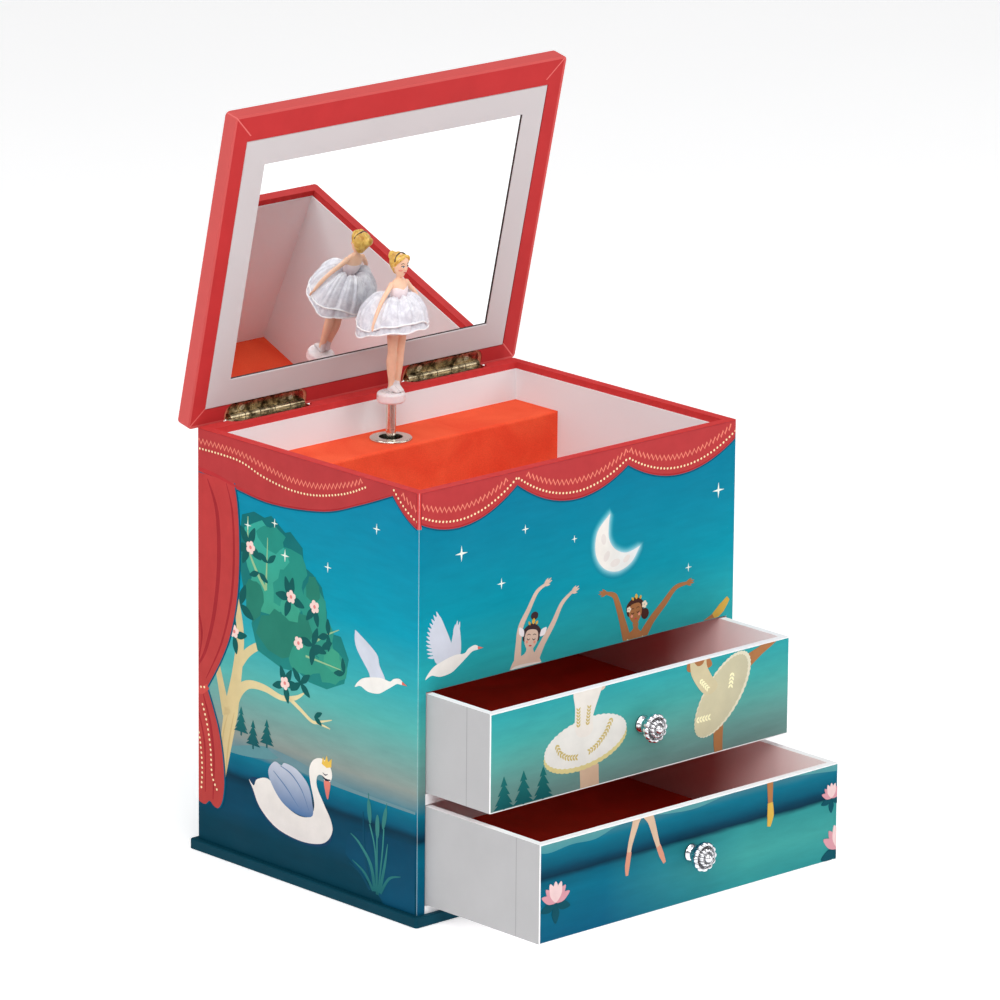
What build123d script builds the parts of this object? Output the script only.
from build123d import *
import os
from math import cos, pi, sin

# Ballerina jewellery box: a board cabinet with a hinged mirror lid, two drawers and a clockwork
# movement that turns a dancer on a spring.
# Frame: origin at the centre of the plinth's underside, X to the right, Y to the back, Z up, in mm.
# The rest pose has the lid open and both drawers pulled out.

# Cabinet
WIDTH = 165.0
DEPTH = 127.0
HEIGHT = 165.0
WALL = 4.0
BACK_T = 6.0
PLINTH_T = 4.0
PLINTH_LIP = 2.2
CORNER_R = 1.2
FLOOR_T = 3.0
LINING_T = 0.6
LINING_DROP = 2.6

HALF_W = WIDTH / 2
FRONT = -DEPTH / 2
BACK = DEPTH / 2
RIM = PLINTH_T + HEIGHT
INNER_X = HALF_W - WALL
INNER_BACK = BACK - BACK_T

# Drawers
DRAWER_W = 156.0
DRAWER_H = 38.8
DRAWER_D = 118.0
DRAWER_T = 3.0
DRAWER_BOTTOM_T = 2.4
DRAWER_BOTTOM_LIFT = 3.4
PAD_T = 0.8
DRAWER_GAP = 0.6
DIVIDER_T = 4.2
LOWER_OUT = 62.9
UPPER_OUT = 35.2
KNOB_R = 6.0
KNOB_REACH = 11.0
KNOB_PETALS = 12

LOWER_Z = PLINTH_T + FLOOR_T + DRAWER_GAP
DIVIDER_Z = LOWER_Z + DRAWER_H + DRAWER_GAP
UPPER_Z = DIVIDER_Z + DIVIDER_T + DRAWER_GAP
TRAY_Z = UPPER_Z + DRAWER_H + DRAWER_GAP
TRAY_FLOOR_T = 3.8
TRAY_TOP = TRAY_Z + TRAY_FLOOR_T

# Block that covers the movement, along the back wall of the tray
BLOCK_FRONT = 32.5
BLOCK_TOP = 154.0
BLOCK_T = 2.0
SPINDLE_Y = 44.1

# Lid, hinged on a pin behind the back panel
LID_W = 170.4
LID_D = 130.5
LID_T = 6.5
LID_GAP = 0.2
LID_OPEN = 77.3
LID_BACK = 66.7
PIN_Y = 65.5
PIN_Z = RIM + LID_GAP / 2
PANEL_W = 155.0
PANEL_D = 112.0
PANEL_T = 0.8
PANEL_INSET = 7.1
MIRROR_BORDER = 11.0
MIRROR_T = 2.0
MIRROR_TUCK = 1.8

LID_UNDER = RIM + LID_GAP
PANEL_BACK = LID_BACK - PANEL_INSET
WINDOW_W = PANEL_W - 2 * MIRROR_BORDER
WINDOW_D = PANEL_D - 2 * MIRROR_BORDER
MIRROR_Y = PANEL_BACK - PANEL_D / 2

# Hinges
HINGE_X = 46.0
HINGE_L = 38.0
LEAF_T = 0.8
LEAF_INNER = 59.9
KNUCKLES = 5
KNUCKLE_GAP = 0.3
BARREL_R = 1.7
PIN_R = 0.6
SCREW_X = 12.5
SCREW_Y = 62.0
SCREW_R = 0.7
SCREW_HEAD_R = 1.3
SCREW_L = 4.5

# Movement: the barrel's crown wheel turns the spindle above it and the pinned cylinder beside it
BARREL_Z = 120.0
DRUM_R = 9.5
CROWN_TEETH = 36
CROWN_IN = 10.75
CROWN_OUT = 13.25
CROWN_Y = 48.8
PINION_TEETH = 12
PINION_TIP = 4.5
PINION_ROOT = 3.1
RUNNING = 0.05
CYLINDER_R = 6.0
CYLINDER_X = (18.0, 40.0)
GOVERNOR_Z = 110.0
BED_Y = 55.5
COMB_X = (19.0, 39.0)
COMB_TEETH = 18
ARBOR_R = 1.5
CYLINDER_ARBOR_R = 1.0
GOVERNOR_ARBOR_R = 0.8
SPINDLE_R = 1.25
STEM_R = 1.95

# Dancer
STEM_TOP = 158.0
BASE_Z = 168.8
BASE_R = 5.6
BASE_T = 4.2
WAIST_Z = 209.5
SHOULDER_Z = 213.0
HEAD_Z = 222.6
HIP_R = 2.7


def block(x, y, z):
    """Rectangular solid between the low and high value of each axis."""
    size = Box(x[1] - x[0], y[1] - y[0], z[1] - z[0])
    return Pos(sum(x) / 2, sum(y) / 2, sum(z) / 2) * size


def rod_x(radius, x, y, z):
    """Round bar along X between two x values."""
    return Pos(sum(x) / 2, y, z) * Rot(0, 90, 0) * Cylinder(radius, x[1] - x[0])


def rod_y(radius, x, y, z):
    """Round bar along Y between two y values."""
    return Pos(x, sum(y) / 2, z) * Rot(90, 0, 0) * Cylinder(radius, y[1] - y[0])


def rod_z(radius, x, y, z):
    """Round bar along Z between two z values."""
    return Pos(x, y, sum(z) / 2) * Cylinder(radius, z[1] - z[0])


def round_uprights(solid, radius, keep):
    """Round the vertical edges whose centre passes the test keep(x, y)."""
    edges = [e for e in solid.edges().filter_by(Axis.Z) if keep(e.center().X, e.center().Y)]
    return fillet(edges, radius)


def save(name, *shapes):
    """Write one node as a STEP file."""
    solids = [solid for shape in shapes for solid in shape.solids()]
    whole = solids[0] if len(solids) == 1 else Compound(solids)
    export_step(whole, f"parts/{name}.step")


def open_lid(shape):
    """Swing a shape built on the closed lid back to the open rest pose."""
    return Pos(0, PIN_Y, PIN_Z) * Rot(-LID_OPEN, 0, 0) * Pos(0, -PIN_Y, -PIN_Z) * shape


# Cabinet

def base_plinth():
    half_w = HALF_W + PLINTH_LIP
    slab = block((-half_w, half_w), (FRONT - PLINTH_LIP, BACK + PLINTH_LIP), (0, PLINTH_T))
    slab = round_uprights(slab, CORNER_R, lambda x, y: True)
    return chamfer(slab.faces().sort_by(Axis.Z)[-1].edges(), 0.4)


def side_panel(side):
    """side is -1 for the left panel and 1 for the right one."""
    outer = side * HALF_W
    inner = side * INNER_X
    panel = block(sorted((outer, inner)), (FRONT, INNER_BACK), (PLINTH_T, RIM))
    return round_uprights(panel, CORNER_R, lambda x, y: x == outer and y == FRONT)


def screw_places():
    return [(side * HINGE_X + end * SCREW_X) for side in (-1, 1) for end in (-1, 1)]


def leaf_pocket(z):
    """Shallow recess for both leaves of one level: a slot with rounded ends, open at the back."""
    depth = BACK - LEAF_INNER + 4
    y_mid = LEAF_INNER + depth / 2 - 0.3
    cuts = []
    for side in (-1, 1):
        slot = Box(HINGE_L + 4, depth, z[1] - z[0])
        slot = round_uprights(slot, 4.0, lambda x, y: y < 0)
        cuts.append(Pos(side * HINGE_X, y_mid, sum(z) / 2) * slot)
    return cuts


def back_panel():
    panel = block((-HALF_W, HALF_W), (INNER_BACK, BACK), (PLINTH_T, RIM))
    panel = round_uprights(panel, CORNER_R, lambda x, y: y == BACK)
    panel -= leaf_pocket((RIM - LEAF_T, RIM + 1))
    panel -= [rod_z(SCREW_R, x, SCREW_Y, (RIM - LEAF_T - SCREW_L, RIM)) for x in screw_places()]
    panel -= rod_y(ARBOR_R + 0.5, 0, (INNER_BACK - 1, BACK + 1), BARREL_Z)
    panel -= [rod_y(1.2, x, (INNER_BACK - 1, INNER_BACK + 4), z) for x, z in bed_screw_places()]
    return panel


def compartment_lining():
    """Thin card lining: round the tray down to its floor, and only above the block at the back."""
    top = RIM - LINING_DROP
    x_in = INNER_X - LINING_T
    shell = block((-INNER_X, INNER_X), (FRONT + WALL, INNER_BACK), (TRAY_TOP, top))
    shell -= block((-x_in, x_in), (FRONT + WALL + LINING_T, INNER_BACK - LINING_T), (0, RIM))
    shell -= block((-HALF_W, HALF_W), (BLOCK_FRONT, BACK), (0, BLOCK_TOP))
    return shell


def mechanism_cover():
    """L-shaped board: a front wall and a top, with the hole for the spindle ferrule."""
    x = (-INNER_X + 0.1, INNER_X - 0.1)
    cover = block(x, (BLOCK_FRONT, INNER_BACK - 0.1), (TRAY_TOP, BLOCK_TOP))
    cover -= block((-HALF_W, HALF_W), (BLOCK_FRONT + BLOCK_T, BACK), (0, BLOCK_TOP - BLOCK_T))
    cover -= rod_z(6.0, 0, SPINDLE_Y, (BLOCK_TOP - 10, BLOCK_TOP + 1))
    top_edge = [e for e in cover.edges().filter_by(Axis.X)
                if e.center().Y == BLOCK_FRONT and e.center().Z > BLOCK_TOP - 1]
    return fillet(top_edge, 1.2)


def spindle_ferrule():
    tube = rod_z(5.95, 0, SPINDLE_Y, (BLOCK_TOP - 3.5, BLOCK_TOP + 0.2))
    flange = rod_z(8.4, 0, SPINDLE_Y, (BLOCK_TOP, BLOCK_TOP + 0.9))
    flange = fillet(flange.edges().sort_by(Axis.Z)[-1], 0.6)
    ferrule = tube + flange
    return ferrule - rod_z(4.7, 0, SPINDLE_Y, (BLOCK_TOP - 5, BLOCK_TOP + 2))


# Hinges

def hinge_leaf(side, plate_z, knuckle_numbers, screw_up):
    """One leaf: a plate with its share of the knuckles. screw_up is 1 when heads face up."""
    x_mid = side * HINGE_X
    pitch = HINGE_L / KNUCKLES
    plate = Box(HINGE_L, PIN_Y - LEAF_INNER, LEAF_T)
    plate = round_uprights(plate, 2.6, lambda x, y: y < 0)
    leaf = Pos(x_mid, (PIN_Y + LEAF_INNER) / 2, sum(plate_z) / 2) * plate
    for number in range(KNUCKLES):
        low = x_mid - HINGE_L / 2 + number * pitch
        span = (low + KNUCKLE_GAP / 2, low + pitch - KNUCKLE_GAP / 2)
        if number in knuckle_numbers:
            leaf += rod_x(BARREL_R, span, PIN_Y, PIN_Z)
        else:
            leaf -= rod_x(BARREL_R + 0.1, (low - KNUCKLE_GAP / 2, low + pitch + KNUCKLE_GAP / 2), PIN_Y, PIN_Z)
    leaf -= rod_x(PIN_R + RUNNING, (x_mid - HINGE_L, x_mid + HINGE_L), PIN_Y, PIN_Z)
    places = [x for x in screw_places() if x * side > 0]
    return leaf - [leaf_screw(x, plate_z, screw_up, False) for x in places]


def leaf_screw(x, plate_z, up, slotted=True):
    """Countersunk wood screw through a leaf; its head is flush with the leaf's open face."""
    face = plate_z[1] if up > 0 else plate_z[0]
    head = Cone(SCREW_R, SCREW_HEAD_R, LEAF_T)
    screw = Pos(0, 0, -LEAF_T / 2) * head
    screw += Pos(0, 0, -LEAF_T - SCREW_L / 2) * Cylinder(SCREW_R, SCREW_L)
    if slotted:
        screw -= [Box(1.7, 0.35, 0.5), Box(0.35, 1.7, 0.5)]
    turn = Rot(0, 0, 35) if up > 0 else Rot(180, 0, 35)
    return Pos(x, SCREW_Y, face) * turn * screw


def hinge_pins():
    half = HINGE_L / 2 + 0.3
    return [rod_x(PIN_R, (s * HINGE_X - half, s * HINGE_X + half), PIN_Y, PIN_Z) for s in (-1, 1)]


def cabinet_hinge_nodes():
    plate = (RIM - LEAF_T, RIM)
    save("left_hinge_case_leaf", hinge_leaf(-1, plate, (0, 2, 4), 1))
    save("right_hinge_case_leaf", hinge_leaf(1, plate, (0, 2, 4), 1))
    save("case_leaf_screws", *[leaf_screw(x, plate, 1) for x in screw_places()])
    save("hinge_pins", *hinge_pins())


def lid_hinge_nodes():
    plate = (LID_UNDER, LID_UNDER + LEAF_T)
    save("left_hinge_lid_leaf", open_lid(hinge_leaf(-1, plate, (1, 3), -1)))
    save("right_hinge_lid_leaf", open_lid(hinge_leaf(1, plate, (1, 3), -1)))
    save("lid_leaf_screws", *[open_lid(leaf_screw(x, plate, -1)) for x in screw_places()])


# Lid, built closed

def lid_board():
    half_w = LID_W / 2
    board = block((-half_w, half_w), (LID_BACK - LID_D, LID_BACK), (LID_UNDER, LID_UNDER + LID_T))
    board = round_uprights(board, 2.0, lambda x, y: True)
    board = fillet(board.faces().sort_by(Axis.Z)[-1].edges(), 0.7)
    board -= leaf_pocket((LID_UNDER - 1, LID_UNDER + LEAF_T))
    board -= [rod_z(SCREW_R, x, SCREW_Y, (LID_UNDER, LID_UNDER + LEAF_T + SCREW_L)) for x in screw_places()]
    groove = HINGE_L / 2 + 0.5
    board -= [rod_x(BARREL_R + 0.3, (s * HINGE_X - groove, s * HINGE_X + groove), PIN_Y, PIN_Z) for s in (-1, 1)]
    return board - panel_plate(0.15) - mirror_plate(0.2)


def panel_plate(margin):
    """Inner panel before its window is cut; margin enlarges it for its recess."""
    half_w = PANEL_W / 2 + margin
    y = (PANEL_BACK - PANEL_D - margin, PANEL_BACK + margin)
    return block((-half_w, half_w), y, (LID_UNDER, LID_UNDER + PANEL_T))


def mirror_plate(margin):
    """Glass plate, tucked behind the inner panel on all four sides; margin enlarges it for its pocket."""
    half_w = WINDOW_W / 2 + MIRROR_TUCK + margin
    half_d = WINDOW_D / 2 + MIRROR_TUCK + margin
    y = (MIRROR_Y - half_d, MIRROR_Y + half_d)
    return block((-half_w, half_w), y, (LID_UNDER + PANEL_T, LID_UNDER + PANEL_T + MIRROR_T + margin))


def lid_inner_panel():
    window_y = (MIRROR_Y - WINDOW_D / 2, MIRROR_Y + WINDOW_D / 2)
    window = block((-WINDOW_W / 2, WINDOW_W / 2), window_y, (0, LID_UNDER + 2 * PANEL_T))
    panel = panel_plate(0) - window
    return chamfer(panel.faces().sort_by(Axis.Z)[0].edges(), 0.3)


# Drawers

def knob(z, y):
    """Flower knob: a short neck, a dished rim of petals and a raised centre, pointing to -Y."""
    neck = Pos(0, 0, 1.6) * Cylinder(2.6, 3.2)
    foot = Pos(0, 0, 0.5) * Cylinder(3.6, 1.0)
    body = Pos(0, 0, 4.6) * Cone(2.6, KNOB_R - 1.0, 3.2)
    rim = Pos(0, 0, 7.4) * Cylinder(KNOB_R - 1.0, 2.6)
    petal = Pos(KNOB_R - 1.6, 0, 7.2) * Rot(0, 12, 0) * Cylinder(1.5, 3.4)
    petals = [Rot(0, 0, i * 360 / KNOB_PETALS) * petal for i in range(KNOB_PETALS)]
    centre = Pos(0, 0, 8.2) * Sphere(2.6)
    whole = neck + foot + body + rim + centre
    for one in petals:
        whole += one
    whole -= Pos(0, 0, 2.9) * Cylinder(1.25, 6.0)
    return Pos(0, y, z) * Rot(90, 0, 0) * whole


def knob_screw(z, y):
    """Screw from inside the drawer, through the front and into the knob."""
    shank = rod_y(1.25, 0, (y - 5.5, y + DRAWER_T), z)
    head = rod_y(2.8, 0, (y + DRAWER_T, y + DRAWER_T + 1.4), z)
    head = fillet(head.edges().sort_by(Axis.Y)[-1], 0.8)
    slot = block((-2.0, 2.0), (y + DRAWER_T + 0.8, y + DRAWER_T + 2), (z - 0.3, z + 0.3))
    return shank + head - slot


def drawer_nodes(prefix, z, out):
    half = DRAWER_W / 2
    front = FRONT - out
    back = front + DRAWER_D
    top = z + DRAWER_H
    mid = z + DRAWER_H / 2
    inside_x = (-half + DRAWER_T, half - DRAWER_T)
    inside_y = (front + DRAWER_T, back - DRAWER_T)
    face = block((-half, half), (front, front + DRAWER_T), (z, top))
    face = round_uprights(face, 0.6, lambda x, y: y == front)
    save(f"{prefix}_drawer_front", face - rod_y(1.25, 0, (front - 1, front + 5), mid))
    right = block((half - DRAWER_T, half), (front + DRAWER_T, back), (z, top))
    save(f"{prefix}_drawer_sides", right, right.mirror(Plane.YZ))
    save(f"{prefix}_drawer_back", block(inside_x, (back - DRAWER_T, back), (z, top)))
    floor_z = z + DRAWER_BOTTOM_LIFT + DRAWER_BOTTOM_T
    save(f"{prefix}_drawer_bottom", block(inside_x, inside_y, (z + DRAWER_BOTTOM_LIFT, floor_z)))
    save(f"{prefix}_drawer_pad", block(inside_x, inside_y, (floor_z, floor_z + PAD_T)))
    save(f"{prefix}_drawer_knob", knob(mid, front))
    save(f"{prefix}_drawer_knob_screw", knob_screw(mid, front))


# Movement

def toothed_wheel(teeth, root, tip, widths, thickness, first_angle):
    """Spur wheel on +Z with straight-sided teeth; widths are the tooth's root and tip widths."""
    low = root - 0.2
    corners = [(low, -widths[0] / 2), (tip, -widths[1] / 2), (tip, widths[1] / 2), (low, widths[0] / 2)]
    tooth = Polygon(*corners, align=None)
    outline = Circle(root)
    for number in range(teeth):
        outline += Rot(0, 0, first_angle + number * 360 / teeth) * tooth
    return Pos(0, 0, -thickness / 2) * extrude(outline, thickness)


def crown_wheel():
    """Flat wheel on the drum with radial ridges for teeth, facing -Y."""
    disc = Pos(0, 0, -1) * Cylinder(CROWN_OUT, 2.0)
    ridge_h = 1.4
    profile = Polygon((-0.45, -0.2), (0.45, -0.2), (0.3, ridge_h), (-0.3, ridge_h), align=None)
    ridge = Plane(origin=(CROWN_IN, 0, 0), x_dir=(0, 1, 0), z_dir=(1, 0, 0)) * profile
    ridge = extrude(ridge, CROWN_OUT - CROWN_IN)
    wheel = disc
    for number in range(CROWN_TEETH):
        wheel += Rot(0, 0, (number + 0.5) * 360 / CROWN_TEETH) * ridge
    return Pos(0, CROWN_Y, BARREL_Z) * Rot(90, 0, 0) * wheel


def mainspring_barrel():
    drum = rod_y(DRUM_R, 0, (40.0, 54.8), BARREL_Z) + crown_wheel()
    drum -= rod_y(DRUM_R - 0.9, 0, (41.0, 53.8), BARREL_Z)
    return drum - rod_y(ARBOR_R + RUNNING, 0, (38, 56), BARREL_Z)


def mainspring():
    """Flat coil spring in the drum: a strip wound in a spiral."""
    turns = 6
    steps = 16
    strip = 0.35
    inner = 2.1
    pitch = (DRUM_R - 0.9 - inner - 0.5) / turns
    angles = [2 * pi * i / steps for i in range(turns * steps + 1)]
    radii = [inner + pitch * a / (2 * pi) for a in angles]
    inside = [(r * cos(a), r * sin(a)) for r, a in zip(radii, angles)]
    outside = [((r + strip) * cos(a), (r + strip) * sin(a)) for r, a in zip(radii, angles)]
    edges = [Spline(*inside), Line(inside[-1], outside[-1])]
    edges += [Spline(*outside[::-1]), Line(outside[0], inside[0])]
    coil = extrude(make_face(edges), 12.0)
    return Pos(0, 53.4, BARREL_Z) * Rot(90, 0, 0) * coil


def winding_key():
    """Butterfly key: a hub on the arbor and two ringed wings in a plane through the axis."""
    hub = rod_y(3.0, 0, (BACK + 0.8, BACK + 8.0), BARREL_Z)
    wings = Circle(0.01)
    for side in (-1, 1):
        wings += Pos(side * 6.2, 0) * Ellipse(6.2, 4.6)
    wings += Rectangle(6, 5)
    for side in (-1, 1):
        wings -= Pos(side * 7.2, 0) * Ellipse(3.2, 2.2)
    plate = Pos(0, BACK + 10.0, BARREL_Z - 0.7) * extrude(wings, 1.4)
    key = hub + plate
    return key - rod_y(ARBOR_R, 0, (BACK, BACK + 6.5), BARREL_Z)


def pinned_cylinder():
    """Drum with rows of small pins that pluck the comb."""
    drum = rod_x(CYLINDER_R, CYLINDER_X, SPINDLE_Y, BARREL_Z)
    drum -= rod_x(CYLINDER_ARBOR_R, CYLINDER_X, SPINDLE_Y, BARREL_Z)
    for number in range(COMB_TEETH):
        x = comb_tooth_x(number)
        for turn in (0, 1):
            angle = (number * 77 + turn * 163) % 360
            pin = Pos(0, 0, CYLINDER_R) * Cylinder(0.16, 0.6)
            drum += Pos(x, SPINDLE_Y, BARREL_Z) * Rot(angle, 0, 0) * pin
    return drum


def comb_tooth_x(number):
    pitch = (COMB_X[1] - COMB_X[0]) / COMB_TEETH
    return COMB_X[0] + (number + 0.5) * pitch


def sound_comb():
    plate = block(COMB_X, (43.5, 44.5), (98.0, BARREL_Z - CYLINDER_R - 0.5))
    for number in range(COMB_TEETH - 1):
        x = (comb_tooth_x(number) + comb_tooth_x(number + 1)) / 2
        plate -= block((x - 0.2, x + 0.2), (43, 45), (104.0 + 0.2 * number, BARREL_Z))
    return plate - [rod_y(0.9, x, (43, 45), 100.5) for x in comb_screw_places()]


def comb_screw_places():
    return [COMB_X[0] + 3, (COMB_X[0] + COMB_X[1]) / 2, COMB_X[1] - 3]


def bed_screw_places():
    return [(x, z) for x in (-18.0, 57.0) for z in (101.0, 146.0)]


def cap_screw(radius, x, y, z, length):
    """Cheese-head screw along +Y; y is the face under the head."""
    head = rod_y(radius * 1.9, x, (y - radius, y), z)
    head -= block((x - radius * 2, x + radius * 2), (y - radius - 1, y - radius * 0.5), (z - 0.2, z + 0.2))
    return head + rod_y(radius, x, (y, y + length), z)


def movement_bedplate():
    plate = block((-23, 62), (BED_Y, INNER_BACK), (97, 150))
    plate -= rod_y(ARBOR_R + RUNNING, 0, (BED_Y - 1, BACK), BARREL_Z)
    return plate - [rod_y(1.2, x, (BED_Y - 1, BACK), z) for x, z in bed_screw_places()]


def arbor_brackets():
    """Four standing brackets: one in front of the barrel and three across the cylinder and governor."""
    shelf = block((-4, 4), (36.6, BED_Y), (102, 104))
    shelf += block((-4, 4), (36.6, 38.1), (102, 124))
    shelf -= rod_y(ARBOR_R + RUNNING, 0, (36, 39), BARREL_Z)
    inner = block((15, 16.5), (41.5, BED_Y), (114, 124))
    middle = block((46, 47.5), (41.5, BED_Y), (106, 124))
    outer = block((58, 59.5), (41.5, BED_Y), (106, 114))
    cylinder_bore = rod_x(CYLINDER_ARBOR_R + RUNNING, (10, 50), SPINDLE_Y, BARREL_Z)
    governor_bore = rod_x(GOVERNOR_ARBOR_R + RUNNING, (40, 62), SPINDLE_Y, GOVERNOR_Z)
    return [shelf, inner - cylinder_bore, middle - cylinder_bore - governor_bore, outer - governor_bore]


def spindle_bracket():
    bracket = block((-4, 4), (40.5, BED_Y), (135, 147.5))
    bracket -= block((-5, 5), (40, BED_Y - 1.5), (136.5, 146))
    return bracket - rod_z(SPINDLE_R + RUNNING, 0, SPINDLE_Y, (130, 150))


def dancer_spindle():
    shaft = rod_z(SPINDLE_R, 0, SPINDLE_Y, (130.2, 149.0))
    collar = rod_z(2.2, 0, SPINDLE_Y, (144.8, 145.9))
    stem = rod_z(STEM_R, 0, SPINDLE_Y, (147.8, STEM_TOP))
    return shaft + collar + stem


def dancer_pinion():
    wheel = toothed_wheel(PINION_TEETH, PINION_ROOT, PINION_TIP, (0.85, 0.5), 2.2, 90)
    return Pos(0, SPINDLE_Y, 131.9) * wheel - rod_z(SPINDLE_R, 0, SPINDLE_Y, (128, 135))


def cylinder_wheel():
    """Small pinion that meets the crown wheel and large wheel that drives the governor."""
    pinion = toothed_wheel(PINION_TEETH, PINION_ROOT, PINION_TIP, (0.85, 0.5), 2.2, 90)
    wheel = toothed_wheel(30, 6.9, 7.85, (0.75, 0.4), 1.5, 0)
    at = lambda x, shape: Pos(x, SPINDLE_Y, BARREL_Z) * Rot(0, 90, 0) * shape
    bore = rod_x(CYLINDER_ARBOR_R, (8, 50), SPINDLE_Y, BARREL_Z)
    return [at(11.9, pinion) - bore, at(43.75, wheel) - bore]


def governor_pinion():
    wheel = toothed_wheel(10, 1.85, 2.85, (0.7, 0.4), 2.2, 18)
    wheel = Pos(43.75, SPINDLE_Y, GOVERNOR_Z) * Rot(0, 90, 0) * wheel
    return wheel - rod_x(GOVERNOR_ARBOR_R, (40, 50), SPINDLE_Y, GOVERNOR_Z)


def governor_fly():
    """Air brake: a thin two-bladed vane on its arbor."""
    arbor = rod_x(GOVERNOR_ARBOR_R, (41.5, 60.5), SPINDLE_Y, GOVERNOR_Z)
    hub = rod_x(1.6, (49, 56), SPINDLE_Y, GOVERNOR_Z)
    vane = block((50, 55), (SPINDLE_Y - 0.3, SPINDLE_Y + 0.3), (GOVERNOR_Z - 5, GOVERNOR_Z + 5))
    return arbor + hub + vane


def movement_nodes():
    save("movement_bedplate", movement_bedplate())
    save("movement_screws", *[cap_screw(1.2, x, BED_Y, z, 5.5) for x, z in bed_screw_places()])
    save("arbor_brackets", *arbor_brackets())
    save("spindle_bracket", spindle_bracket())
    comb_block = block(COMB_X, (44.5, BED_Y), (98, 103))
    comb_block -= [rod_y(0.9, x, (44, 51), 100.5) for x in comb_screw_places()]
    save("comb_block", comb_block)
    save("sound_comb", sound_comb())
    save("comb_screws", *[cap_screw(0.9, x, 43.5, 100.5, 7.0) for x in comb_screw_places()])
    save("mainspring_barrel", mainspring_barrel())
    save("mainspring", mainspring())
    save("winding_arbor", rod_y(ARBOR_R, 0, (36.0, BACK + 6.0), BARREL_Z))
    save("winding_key", winding_key())
    save("pinned_cylinder", pinned_cylinder())
    save("cylinder_arbor", rod_x(CYLINDER_ARBOR_R, (10.5, 48.5), SPINDLE_Y, BARREL_Z))
    save("cylinder_wheels", *cylinder_wheel())
    save("governor_pinion", governor_pinion())
    save("governor_fly", governor_fly())
    save("dancer_spindle", dancer_spindle())
    save("dancer_pinion", dancer_pinion())


# Dancer, built about its own axis at x = 0, y = 0

def dancer_spring():
    """Close-wound spring as a tube between the stem and the dancer's base."""
    z = (STEM_TOP + 0.1, BASE_Z - 0.05)
    return rod_z(STEM_R, 0, 0, z) - rod_z(STEM_R - 0.7, 0, 0, (z[0] - 1, z[1] + 1))


def dancer_base():
    disc = rod_z(BASE_R, 0, 0, (BASE_Z, BASE_Z + BASE_T))
    return fillet(disc.edges().filter_by(GeomType.CIRCLE), 1.1)


def limb(start, end, r_start, r_end):
    """Tapered round limb with ball ends."""
    path = Vector(*end) - Vector(*start)
    cone = Cone(r_start, r_end, path.length, align=(Align.CENTER, Align.CENTER, Align.MIN))
    place = Plane(origin=start, z_dir=path)
    return place * cone + Pos(*start) * Sphere(r_start) + Pos(*end) * Sphere(r_end)


def dancer_figure():
    """Figure on straight legs: bodice, arms lowered over the tutu, head with a bun."""
    sole = BASE_Z + BASE_T
    legs = rod_z(2.6, 0, 0, (sole, sole + 2.4))
    for side in (-1, 1):
        legs += limb((side * 1.7, 0, sole + 2.4), (side * 1.9, 0, 191.6), 1.3, 1.9)
    torso = rod_z(HIP_R, 0, 0, (190.5, WAIST_Z))
    torso += limb((0, 0, WAIST_Z), (0, 0, SHOULDER_Z - 1), 2.4, 3.0)
    torso += rod_x(1.4, (-4.2, 4.2), 0, SHOULDER_Z - 0.6)
    torso += limb((0, 0, SHOULDER_Z), (0, 0, HEAD_Z - 3), 1.3, 1.2)
    head = Pos(0, 0, HEAD_Z) * Sphere(3.9) + Pos(0, 2.4, HEAD_Z + 3.1) * Sphere(1.7)
    arms = []
    for side in (-1, 1):
        elbow = (side * 6.6, -1.0, SHOULDER_Z - 5.4)
        arms.append(limb((side * 4.2, 0, SHOULDER_Z - 0.6), elbow, 1.2, 1.0))
        arms.append(limb(elbow, (side * 8.4, -3.0, 207.0), 1.0, 0.8))
    whole = legs + head
    for piece in [torso, *arms]:
        whole += piece
    return whole


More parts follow.
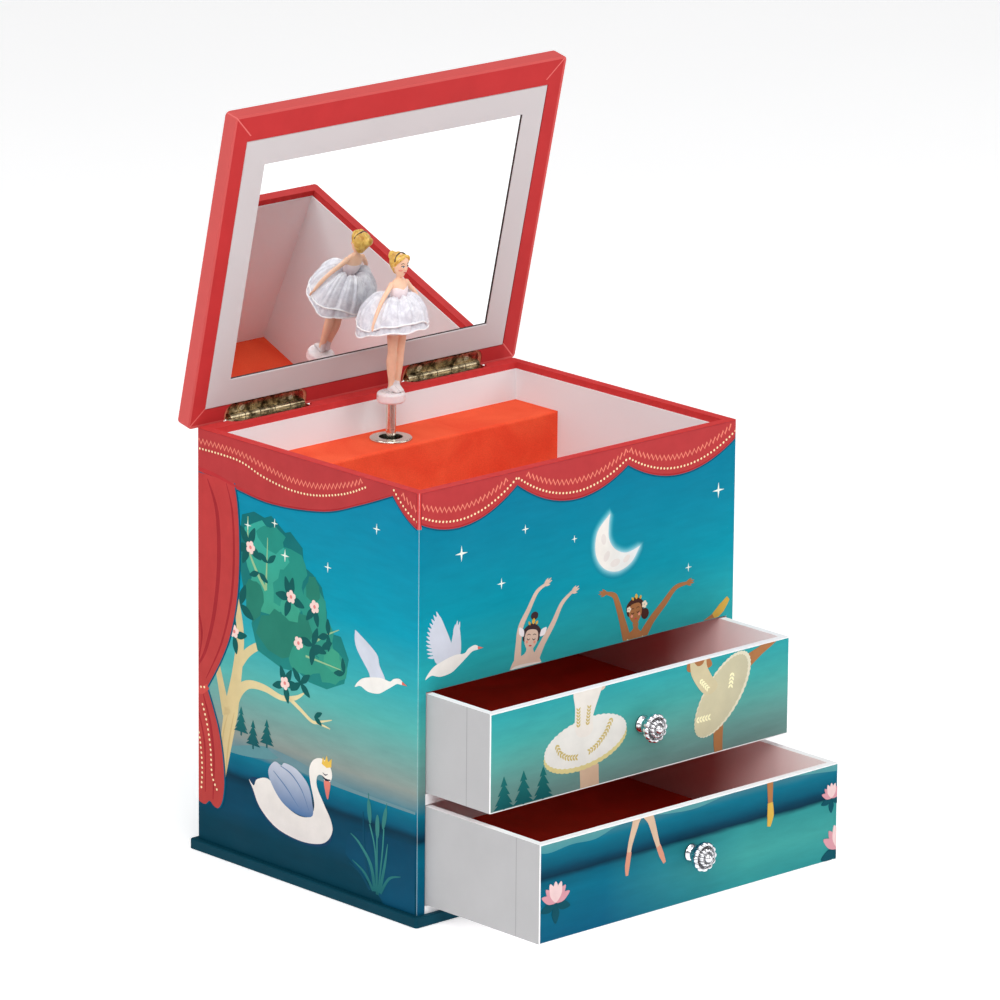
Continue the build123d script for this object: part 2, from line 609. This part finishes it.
def tutu():
    """Flared skirt: widest low down, drawn in to the waist, with a hole for the hips."""
    points = [(HIP_R + 0.02, 195.5), (6.5, 195.0), (12.4, 194.0), (14.2, 196.2)]
    points += [(13.2, 200.5), (9.6, 204.0), (4.6, 206.0), (HIP_R + 0.02, 206.0)]
    outline = Polyline(*points, close=True)
    profile = make_face(Plane.XZ * outline)
    return revolve(profile, Axis.Z)


def dancer_nodes():
    at_spindle = Pos(0, SPINDLE_Y, 0)
    save("dancer_spring", at_spindle * dancer_spring())
    save("dancer_base", at_spindle * dancer_base())
    save("dancer_figure", at_spindle * dancer_figure())
    save("dancer_tutu", at_spindle * tutu())


def cabinet_nodes():
    inside = (-INNER_X, INNER_X)
    depth = (FRONT, INNER_BACK)
    tray_y = (FRONT + WALL, INNER_BACK)
    save("base_plinth", base_plinth())
    save("cabinet_floor", block(inside, depth, (PLINTH_T, PLINTH_T + FLOOR_T)))
    save("left_side_panel", side_panel(-1))
    save("right_side_panel", side_panel(1))
    save("back_panel", back_panel())
    save("front_panel", block(inside, (FRONT, FRONT + WALL), (TRAY_Z, RIM)))
    save("drawer_divider", block(inside, depth, (DIVIDER_Z, DIVIDER_Z + DIVIDER_T)))
    save("compartment_floor", block(inside, tray_y, (TRAY_Z, TRAY_TOP)))
    save("compartment_lining", compartment_lining())
    pad_x = (-INNER_X + LINING_T, INNER_X - LINING_T)
    pad_y = (FRONT + WALL + LINING_T, BLOCK_FRONT)
    save("tray_floor_pad", block(pad_x, pad_y, (TRAY_TOP, TRAY_TOP + 1.0)))
    save("mechanism_cover", mechanism_cover())
    save("spindle_ferrule", spindle_ferrule())


def lid_nodes():
    save("lid_board", open_lid(lid_board()))
    save("lid_inner_panel", open_lid(lid_inner_panel()))
    save("lid_mirror", open_lid(mirror_plate(0)))


os.makedirs("parts", exist_ok=True)
cabinet_nodes()
cabinet_hinge_nodes()
lid_nodes()
lid_hinge_nodes()
drawer_nodes("lower", LOWER_Z, LOWER_OUT)
drawer_nodes("upper", UPPER_Z, UPPER_OUT)
movement_nodes()
dancer_nodes()
